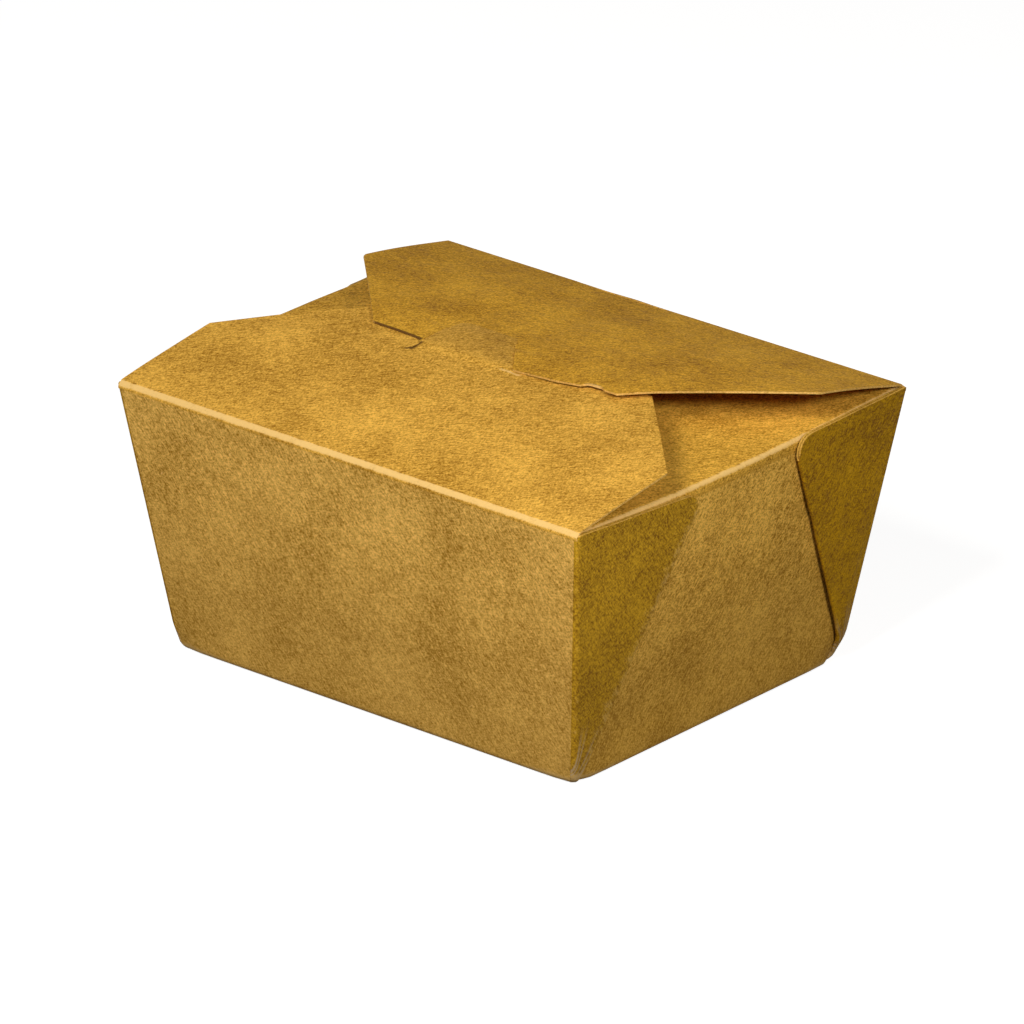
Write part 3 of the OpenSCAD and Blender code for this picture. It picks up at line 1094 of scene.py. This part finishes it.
@dataclass
class Web:
    """Corner web, folded in half along its middle and laid on the end wall."""

    sizes: CartonSizes
    finishes: Finishes
    end: End
    side: Side
    fold_steps: int = 8
    corner_steps: int = 8
    front_puff: float = 0.1
    back_puff: Plan = (0.15, 0.95)
    tuck: float = 1.4
    ragged: float = 0.35
    wave: float = 0.09
    # How much lighter the front web is along its fold, which fades its painted shade
    front_shade_fade: float = 0.34
    # Painted shade on the web's hidden layer, which darkens the gap beside the end wall
    painted_shade: float = -0.8

    def build(self) -> bpy.types.Object:
        """Makes the piece.

        Returns:
            The finished piece.
        """
        s = self.sizes
        front = self.side is Side.FRONT
        half = s.web_half - (0.0 if front else math.radians(s.back_web_tuck))
        lie = half - s.corner_in_end
        run = (s.rim_width - s.base_width) / 2
        fall = math.tan(math.radians(s.front_web_fall if front else s.back_web_fall))
        top = s.slant_end - s.web_slack - run * fall
        diagonal = top / (math.cos(lie) + math.sin(lie) * fall)
        bend = (s.board + s.crevice) / 2
        middle = s.crevice + s.board + s.crevice / 2
        outer = middle + bend
        corner_reach = outer * math.acos(math.sin(s.lean_end) * math.sin(s.lean_front))
        extra = bend * (math.pi / 2 - 1)
        quarter = bend * math.pi / 2
        sine, cosine = math.sin(half), math.cos(half)
        lift = math.radians(s.front_web_lift if front else s.back_web_lift)

        def flat(x: float, y: float, inner: bool = False) -> Plan:
            """Blank coordinates of a point of the folded web: across the middle, then along it."""
            away = -x * cosine + y * sine + extra
            return (away if inner else -away, x * sine + y * cosine)

        def fold(across: float, along: float) -> Vector:
            """Folds the web along its middle line.

            Args:
                across: Distance from the web's middle line.
                along: Distance up that line.

            Returns:
                The place in the frame of the corner line.
            """
            if abs(across) < quarter:
                angle = across / bend
                away, height = bend * (1 - math.cos(angle)), middle - bend * math.sin(angle)
            else:
                away = bend + abs(across) - quarter
                height = middle - math.copysign(bend, across)
            x, y = along * sine - away * cosine, along * cosine + away * sine
            if x < 0:
                angle = -x / outer
                return Vector((-outer * math.sin(angle), y, outer * math.cos(angle)))
            if front:
                puff = self.front_puff * ease(x / 10) * ripple(x / 9, y / 14, 1.7)
            else:
                least, more = self.back_puff
                puff = ease(x / 5) * ease(y / 5) * (least + more * ease((56 - y) / 50))
                x -= self.tuck * ease(x / 8) * ease((64 - y) / 10)
                ragged = self.ragged * ripple(y / 2.2, 0.0, 5.5) * ease((y - 30) / 6)
                x += ragged * ease((46 - y) / 6) * ease(1 - away / 3) * ease(x / 4)
            wave = self.wave * ripple(x / 4, y / 5, 3.1 * self.side.value)
            return Vector((x, y, height + x * math.sin(lift) + puff + wave * ease(x / 4)))

        def wear_and_painted_shade(across: float, along: float) -> float:
            """How rubbed or dark a point of the web is.

            Args:
                across: Distance from the web's middle line.
                along: Distance up that line.

            Returns:
                Above 0 where it goes round the corner and folds over; below 0 underneath, painted
                shade that darkens the gap beside the wall.
            """
            away = abs(across)
            x = along * sine - away * cosine
            # Painted shade on the hidden layer underneath
            if across > bend * 2:
                return self.painted_shade * ease(x / 3) * ease((55 - along) / 5)
            foot = ease((9 - along) / 8) * ease(1 - away / 1.2)
            # Lighter along the front web's fold, which fades the webs' painted shade into the end
            # wall
            edge = self.front_shade_fade * ease(1 - away / 6) if front else 0.0
            corner = 0.15 * ease(1 - abs(x + 0.6) / 1.2)
            return corner + edge + 0.5 * foot + 0.8 * ease((3 - along) / 2)

        wall_top = s.wall_top / s.rim_height * s.corner_length
        top = s.corner_length - s.web_slack
        tip = rounded(
            [(0.0, top, 0), (diagonal * sine, diagonal * cosine, s.web_corner), (0.0, 0.0, 0)]
        )[1:-1]
        board = Board(
            [
                flat(0.1, 0.4, True),
                flat(0.1, top, True),
                *[flat(x, y, True) for x, y in tip],
                *[flat(x, y) for x, y in reversed(tip)],
                flat(0.0, top),
                flat(-corner_reach * 0.6, top - 0.2),
                flat(-corner_reach, wall_top),
                flat(-corner_reach, 0.0),
                flat(0.0, 0.0),
            ]
        )
        board.score((1, 0), steps(-quarter, quarter, self.fold_steps))
        board.score((1, 0), [-30, -24, -18, -12, -8, -5, -3, -1.5, 1.5, 4, 10, 20])
        round_corner = [x + extra * cosine for x in steps(-corner_reach, 0, self.corner_steps)]
        board.score((cosine, sine), round_corner + [0.8, 2, 4, 8, 12, 16, 20, 25, 30])
        board.score((0, 1), [1, 2, 3, 4.5, 6, 8, 11, 15, 20, 25, 30, 35, 40, 45, 50, 55, 60, 65])
        board.bend(fold, wear_and_painted_shade)
        board.place(self.corner_frame())
        self.round_foot(board.bm)
        name = f"web_{self.side.name.lower()}_{self.end.name.lower()}"
        finishes = self.finishes.pick(Finish.WEBS_PAINTED_SHADE if front else Finish.BACK_WEBS_PAINTED_SHADE, Finish.CUT_WEB_PAINTED_SHADE)
        piece = board.piece(name, "box", "kraft_walls", finishes, s.board)
        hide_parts("box_body")
        return piece

    def corner_frame(self) -> Matrix:
        """Frame of this web's corner line.

        Returns:
            Matrix from that frame to the carton's.
        """
        s = self.sizes
        on_wall = (
            Matrix.Translation((s.base_length / 2 - s.web_stack / math.cos(s.lean_end), 0, 0))
            @ Matrix.Rotation(s.lean_end, 4, "Y")
            @ Matrix(((0, 0, 1, 0), (1, 0, 0, 0), (0, 1, 0, 0), (0, 0, 0, 1)))
        )
        on_line = (
            Matrix.Translation((s.base_width / 2 - s.web_stack / math.cos(s.lean_front), 0, 0))
            @ Matrix.Rotation(-s.corner_in_end, 4, "Z")
            @ Matrix.Diagonal((-1, 1, 1, 1))
        )
        turn = Matrix.Diagonal((self.end.value, self.side.value, 1, 1))
        return turn @ on_wall @ on_line

    def round_foot(self, bm: bmesh.types.BMesh) -> None:
        """Draws the web's foot in under the corner, as the bottom fold does.

        Args:
            bm: The folded web in its place on the carton.
        """
        s = self.sizes
        radius, lowest = s.bottom_fold, s.board / 2
        for v in bm.verts:
            depth = radius - max(v.co.z, lowest)
            if depth > 0:
                inset = radius - math.sqrt(max(radius**2 - depth**2, 0.0))
                v.co.x -= math.copysign(inset, v.co.x)
                v.co.y -= math.copysign(inset, v.co.y)
                v.co.z = max(v.co.z, lowest)
            v.co = s.soften(v.co)


@dataclass
class FrontLid:
    """Front lid flap with the tongue of the lock."""

    sizes: CartonSizes
    finishes: Finishes
    right_free: float = 0.6
    right_in: float = 1.5
    slit_end: float = -8.3
    tear_x: float = 4.6
    hook_y: float = -10.2
    hook_slit: float = 0.35
    hook_turn: Plan = (-52.0, -48.0)
    shaft_top: float = -8.2
    tear_rub: float = 0.9
    # Painted shade on the tongue past the ridge
    painted_tongue_shade: float = 0.36
    unevenness: float = 0.16

    def outline(self) -> list[Plan]:
        """Plan of the flap.

        Returns:
            Its corners, anticlockwise.
        """
        s = self.sizes
        low = -s.fold_y + s.lid_start
        slope = (s.lid_half - s.lid_end_half) / (s.fold_y - s.lid_side + s.wing_lap)
        shoulder = (s.fold_y - s.lid_side - s.ridge_gap) * slope
        right = (s.fold_y - s.lid_side + self.right_free) * slope + self.right_in
        slit_x = -s.tongue_left
        hook = (slit_x - s.hook_radius, self.hook_y)
        tongue = rounded(
            [
                (s.tongue_root_right, self.slit_end, 0),
                (-s.tongue_tip_right, s.tongue_reach, s.tongue_corner),
                (slit_x, s.tongue_reach, s.tongue_corner),
                (slit_x, self.hook_y, 0),
            ]
        )[1:-1]
        tear = [
            (s.tongue_root_right + s.slit + 0.15, self.slit_end - 0.25),
            (self.tear_x, self.slit_end - 0.62),
            (s.tongue_root_right - 0.2, self.slit_end + 0.02),
        ]
        outer_turn, inner_turn = self.hook_turn
        return [
            (-s.lid_half, low),
            (s.lid_half, low),
            (s.lid_half, s.lid_side - s.fold_y),
            (s.lid_half - right, self.right_free),
            (s.tongue_side(self.right_free) + s.slit, self.right_free),
            *tear,
            *tongue,
            *arc(hook, s.hook_radius, 0, outer_turn, 10),
            *arc(hook, s.hook_radius - self.hook_slit, inner_turn, 0, 10),
            (slit_x - self.hook_slit * 0.8, self.shaft_top - 0.5),
            (slit_x - s.slit, self.shaft_top),
            (slit_x - s.slit, -s.ridge_gap),
            (shoulder - s.lid_half, -s.ridge_gap),
            (-s.lid_half, s.lid_side - s.fold_y),
        ]

    def on_tongue(self, x: float, y: float) -> bool:
        """Whether a point of the flap is on its tongue.

        Args:
            x: Distance of the point to the right of the middle.
            y: Its distance past the ridge.

        Returns:
            True on the tongue and between the hook and the right slit.
        """
        s = self.sizes
        if x < -s.tongue_left - s.slit / 2:
            return False
        radius = s.hook_radius - self.hook_slit / 2
        hook = math.sqrt(max(radius**2 - (y - self.hook_y) ** 2, 0.0))
        if y < self.hook_y and x < -s.tongue_left - s.hook_radius + hook:
            return False
        return x < s.tongue_side(y) + s.slit / 2 + 0.05

    def fold(self, x: float, y: float) -> Vector:
        """Lays a point of the flap's plan on the folded flap.

        Args:
            x: Distance of the point to the right of the middle.
            y: Its distance past the ridge.

        Returns:
            The place on the carton.
        """
        s = self.sizes
        free = ease((y + s.fold_y - 2) / 18)
        wave = self.unevenness * free * ripple(x / 24, y / 20, 7.7)
        return Vector((x, y, s.front_z(x, y, self.on_tongue(x, y)) + wave))

    def wear_and_painted_shade(self, x: float, y: float) -> float:
        """How rubbed or dark a point of the flap is.

        Args:
            x: Distance of the point to the right of the middle.
            y: Its distance past the ridge.

        Returns:
            Above 0 at the tear beside the lock; below 0, painted shade, in the hooked slit and on the
            tongue.
        """
        s = self.sizes
        middle = (self.tear_x + s.tongue_root_right) / 2
        width = s.tongue_root_right - self.tear_x
        tear = ease(1 - abs(y - self.slit_end + 0.1) / 0.75) * ease(1.6 - abs(x - middle) / width)
        slot = math.hypot(x + s.tongue_left + s.hook_radius, y - self.hook_y)
        hook = y < self.hook_y + 1 and abs(slot - s.hook_radius + self.hook_slit / 2) < 0.3
        shaft = self.hook_y <= y < self.shaft_top + 0.1 and abs(x + s.tongue_left + 0.15) < 0.3
        # Painted shadow in the hooked slit and its shaft
        if hook or shaft:
            return -1.0
        # Painted shade on the tongue where it lies past the ridge
        tip = ease((y + 12.5) / 9) * ease((s.tongue_side(y) + 1.5 - x) / 2)
        if x < -s.tongue_left - s.slit / 2:
            tip = 0.0
        return self.tear_rub * tear - self.painted_tongue_shade * tip

    def build(self) -> bpy.types.Object:
        """Makes the piece.

        Returns:
            The finished piece.
        """
        board = Board(self.outline())
        slits = [-21.5, -20.3, -19.6, 3.6, 4.4, 5.2, 6.0, 6.8, 8.2, 9.5, 13.0]
        board.score((1, 0), steps(-63, 63, 42) + slits)
        board.score((0, 1), steps(-54, -15, 16) + steps(-13.4, 6.2, 28) + [-8.45, -8.25, -8.05])
        board.bend(self.fold, self.wear_and_painted_shade)
        finishes = self.finishes.pick(Finish.LID, Finish.CUT)
        piece = board.piece(
            "front_lid_flap", "front_lid", "kraft_lid", finishes, self.sizes.board
        )
        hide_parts("front_flap")
        return piece


@dataclass
class BackLid:
    """Back lid flap, whose wings lie on the front flap."""

    sizes: CartonSizes
    finishes: Finishes
    unevenness: float = 0.14
    burr_at: Plan = (27.0, -5.2)
    burr_reach: Plan = (3.6, 1.3)
    burr_rub: float = 0.9

    def outline(self) -> list[Plan]:
        """Plan of the flap, with the torn burr in its right wing.

        Returns:
            Its corners, anticlockwise.
        """
        s = self.sizes
        high = s.fold_y - s.lid_start
        slit_x = -s.tongue_left - s.slit
        notch_right = s.tongue_side(s.notch_reach) + s.slit
        left_wing = [(-63.7, 24.7, 0), (-33.9, -6.9, 1.2), (-22.2, -7.1, 1.5), (-20.0, -7.5, 0.6)]
        burr = [(24.1, -6.35, 0), (25.3, -5.0, 0.5), (28.9, -4.95, 0.8), (30.4, -5.75, 0.4)]
        return rounded(
            [
                (-s.lid_half, high, 0),
                (-s.lid_half, s.fold_y - s.lid_side, 0),
                *left_wing,
                (slit_x, -8.7, 0),
                (slit_x, s.notch_reach, 0),
                (notch_right, s.notch_reach, 0),
                (s.tongue_side(-7.9) + s.slit, -7.9, 0),
                (18.0, -7.45, 0),
                *burr,
                (33.9, -5.9, 0.5),
                (s.lid_half, s.fold_y - s.lid_side, 0),
                (s.lid_half, high, 0),
            ],
            4,
        )

    def fold(self, x: float, y: float) -> Vector:
        """Lays a point of the flap's plan on the folded flap.

        Args:
            x: Distance of the point to the right of the middle.
            y: Its distance behind the ridge.

        Returns:
            The place on the carton.
        """
        s = self.sizes
        free = ease((s.fold_y - y - 2) / 18)
        wave = self.unevenness * free * ripple(x / 26, y / 22, 2.3)
        return Vector((x, y, s.back_z(x, y) + wave))

    def wear_and_painted_shade(self, x: float, y: float) -> float:
        """How rubbed or dark a point of the flap is.

        Args:
            x: Distance of the point to the right of the middle.
            y: Its distance behind the ridge.

        Returns:
            Above 0 at the torn burr; below 0, a painted shadow, under the left wing's edge.
        """
        at, reach = self.burr_at, self.burr_reach
        burr = ease(1 - abs(x - at[0]) / reach[0]) * ease(1 - abs(y - at[1]) / reach[1])
        # Painted shadow along the left wing's front edge
        painted_edge_shadow = ease((x + 36) / 4) * ease((-19 - x) / 1) * ease((-6.7 - y) / 0.2)
        return self.burr_rub * burr - painted_edge_shadow

    def build(self) -> bpy.types.Object:
        """Makes the piece.

        Returns:
            The finished piece.
        """
        board = Board(self.outline())
        edges = [-20.2, -19.5, 23.2, 25.5, 26.4, 28.2, 29.3, 31.2]
        board.score((1, 0), steps(-63, 63, 42) + edges)
        board.score((0, 1), steps(-8.4, 3, 19) + steps(4, 12, 8) + steps(14, 54, 20))
        board.bend(self.fold, self.wear_and_painted_shade)
        finishes = self.finishes.pick(Finish.LID_BACK_PAINTED_SHADE, Finish.CUT)
        piece = board.piece(
            "back_lid_flap", "back_lid", "kraft_lid_back", finishes, self.sizes.board
        )
        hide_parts("back_flap")
        return piece


@dataclass
class LidCrease:
    """Scored crease at the rim, which bends between a wall and its lid flap."""

    sizes: CartonSizes
    finishes: Finishes
    side: Side
    facet: float = 1.05
    knee_share: float = 0.49
    rub: float = 0.86
    columns: int = 60

    def profile(self) -> list[Vector]:
        """Shape of the crease, seen from its end.

        Returns:
            Its points from the wall up to the flap, each as outwards and up.
        """
        s = self.sizes

        def wall(z: float) -> Vector:
            """Point of the wall's middle surface at a height."""
            inset = s.board / 2 / math.cos(s.lean_front)
            return Vector((s.base_width / 2 + z * math.tan(s.lean_front) - inset, z))

        def flap(inset: float) -> Vector:
            """Finds a point of the flap's middle surface.

            Args:
                inset: Distance from the fold.

            Returns:
                The point, as outwards and up.
            """
            y = s.fold_y - inset
            z = s.front_z(0.0, -y, False) if self.side is Side.FRONT else s.back_z(0.0, y)
            return Vector((y, z))

        low, high = wall(s.wall_top), flap(s.lid_start)
        rows = [low, wall(s.rim_height - self.facet), flap(self.facet / 2), high]
        made = [low]
        for a, b, c in zip(rows, rows[1:], rows[2:]):
            size = self.knee_share * min((a - b).length, (c - b).length)
            start, end = b + (a - b).normalized() * size, b + (c - b).normalized() * size
            for t in (0.0, 0.3, 0.5, 0.7, 1.0):
                made.append((1 - t) ** 2 * start + 2 * t * (1 - t) * b + t * t * end)
        return [*made, high]

    def build(self) -> bpy.types.Object:
        """Makes the piece.

        Returns:
            The finished piece.
        """
        s = self.sizes
        front = self.side is Side.FRONT
        sign = self.side.value
        profile = self.profile()
        last = len(profile) - 1
        half = s.lid_half

        def fold(x: float, v: float) -> Vector:
            """Lays a point of the crease on its profile.

            Args:
                x: Distance along the rim.
                v: Number of the profile's row, with its fraction.

            Returns:
                The place on the carton.
            """
            i = min(int(v), last - 1)
            p = profile[i].lerp(profile[i + 1], v - i)
            inner = ease(v / 2) * ease((last - v) / 2)
            wave = ripple(x / 7, sign * 3.0, 0.6)
            swell = ripple(x / 22, sign * 5.0, 9.1)
            out = inner * (0.1 * wave + 0.08 * swell)
            return Vector((x, sign * (p.x + out), p.y + out * 0.6))

        def wear_and_painted_shade(x: float, v: float) -> float:
            """Rubbed between its two knees."""
            return self.rub * ease((v - 1.0) / 4.0) * ease((last - 1.0 - v) / 4.0)

        board = Board([(-half, 0), (half, 0), (half, last), (-half, last)])
        board.score((0, 1), [float(k) for k in range(1, last)])
        board.score((1, 0), steps(-half + 1, half - 1, self.columns))
        board.bend(fold, wear_and_painted_shade)
        if not front:
            board.turn_over()
        finishes = self.finishes.pick(Finish.LID if front else Finish.LID_BACK_PAINTED_SHADE, Finish.CUT)
        slot = "kraft_lid" if front else "kraft_lid_back"
        piece = board.piece(f"{self.side.name.lower()}_crease", None, slot, finishes, s.board)
        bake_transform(piece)
        return piece


@dataclass(frozen=True)
class Lamp:
    """Soft square lamp that is aimed at the carton, in degrees, metres and watts."""

    name: str
    azimuth: float
    elevation: float
    distance: float
    size: float
    power: float
    tint: Triple = (1.0, 0.98, 0.95)
    aim: Triple = (0.0, 0.0, 0.04)

    def build(self) -> None:
        """Hangs the lamp."""
        data = bpy.data.lights.new(self.name, "AREA")
        data.size = self.size
        data.energy = self.power
        data.color = self.tint
        lamp = bpy.data.objects.new(self.name, data)
        bpy.context.scene.collection.objects.link(lamp)
        away = heading(math.radians(self.azimuth), math.radians(self.elevation))
        lamp.location = Vector(self.aim) + away * self.distance
        lamp.rotation_mode = "QUATERNION"
        lamp.rotation_quaternion = away.to_track_quat("Z", "Y")
        lamp.visible_camera = False


@dataclass
class Studio:
    """Pale floor, soft light and the camera."""

    azimuth: float = 39.506
    elevation: float = 22.785
    roll: float = 0.786
    distance: float = 2496.8
    lens: float = 401.37
    sensor: float = 36.0
    target: Triple = (-5.068, 6.509, 30.0)
    ambient: float = 0.09
    floor_half: float = 6.0
    floor_gap: float = 0.05
    floor_glow: float = 0.8
    lamps: tuple[Lamp, ...] = (
        Lamp("front", azimuth=6.0, elevation=41.0, distance=1.2, size=0.45, power=10.4),
        Lamp("right", azimuth=65.0, elevation=31.0, distance=0.6, size=0.1, power=1.95),
    )

    def camera(self) -> None:
        """Places the camera at the photograph's viewing angle."""
        a, e, r = (math.radians(v) for v in (self.azimuth, self.elevation, self.roll))
        back = heading(a, e)
        right = Vector((math.cos(a), math.sin(a), 0.0))
        up = back.cross(right)
        turned_right = right * math.cos(r) + up * math.sin(r)
        turned_up = up * math.cos(r) - right * math.sin(r)
        data = bpy.data.cameras.new("camera")
        data.sensor_width = self.sensor
        data.lens = self.lens
        data.clip_start, data.clip_end = 0.05, 20.0
        camera = bpy.data.objects.new("camera", data)
        bpy.context.scene.collection.objects.link(camera)
        place = (Vector(self.target) + back * self.distance) * MM
        turn = Matrix((turned_right, turned_up, back)).transposed().to_4x4()
        camera.matrix_world = Matrix.Translation(place) @ turn
        bpy.context.scene.camera = camera

    def world(self) -> None:
        """Soft even light all round, white where the camera or a reflection sees it."""
        world = bpy.data.worlds.new("studio")
        bpy.context.scene.world = world
        n = Nodes(world)
        soft = n.node("Background", Color=(1.0, 0.98, 0.95, 1.0), Strength=self.ambient)
        white = n.node("Background", Color=(1.0, 1.0, 1.0, 1.0))
        shown = n.fill(n.node("MixShader"), n.seen(), soft.outputs[0], white.outputs[0])
        n.surface(shown)

    def floor(self) -> None:
        """Plain pale floor that keeps the carton's shadow."""
        n = Nodes(bpy.data.materials.new("floor"))
        bounce = n.node("BsdfDiffuse", Color=(0.14, 0.13, 0.12, 1.0))
        shadow = n.node("BsdfDiffuse", Color=(0.5, 0.5, 0.5, 1.0))
        white = n.node("Emission", Color=(1.0, 1.0, 1.0, 1.0), Strength=self.floor_glow)
        both = n.fill(n.node("AddShader"), shadow.outputs[0], white.outputs[0])
        n.surface(n.fill(n.node("MixShader"), n.seen(), bounce.outputs[0], both))
        bm = bmesh.new()
        bmesh.ops.create_grid(bm, x_segments=2, y_segments=2, size=self.floor_half)
        mesh = bpy.data.meshes.new("floor")
        bm.to_mesh(mesh)
        bm.free()
        mesh.materials.append(n.owner)
        floor = bpy.data.objects.new("floor", mesh)
        floor.location = (0.0, 0.0, -self.floor_gap * MM)
        bpy.context.scene.collection.objects.link(floor)
        floor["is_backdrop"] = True

    def build(self) -> None:
        """Sets up the whole studio."""
        bpy.context.scene.view_settings.view_transform = "Standard"
        self.camera()
        self.world()
        self.floor()
        for lamp in self.lamps:
            lamp.build()


def corners(bounds: tuple[Vector, Vector]) -> list[list[float]]:
    """Bounds as plain lists of numbers."""
    return [list(corner) for corner in bounds]


def main() -> None:
    """Builds the carton and its studio."""
    logging.basicConfig(level=logging.INFO, format="%(message)s")
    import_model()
    cad = corners(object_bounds())
    Studio().build()
    sizes = CartonSizes()
    finishes = Finishes()
    Tray(sizes, finishes).build()
    for end in End:
        EndFlap(sizes, finishes, end).build()
        for side in Side:
            Web(sizes, finishes, end, side).build()
    for side in Side:
        LidCrease(sizes, finishes, side).build()
    FrontLid(sizes, finishes).build()
    BackLid(sizes, finishes).build()
    {"cad": cad, "visual": corners(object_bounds())}


if __name__ == "__main__":
    main()
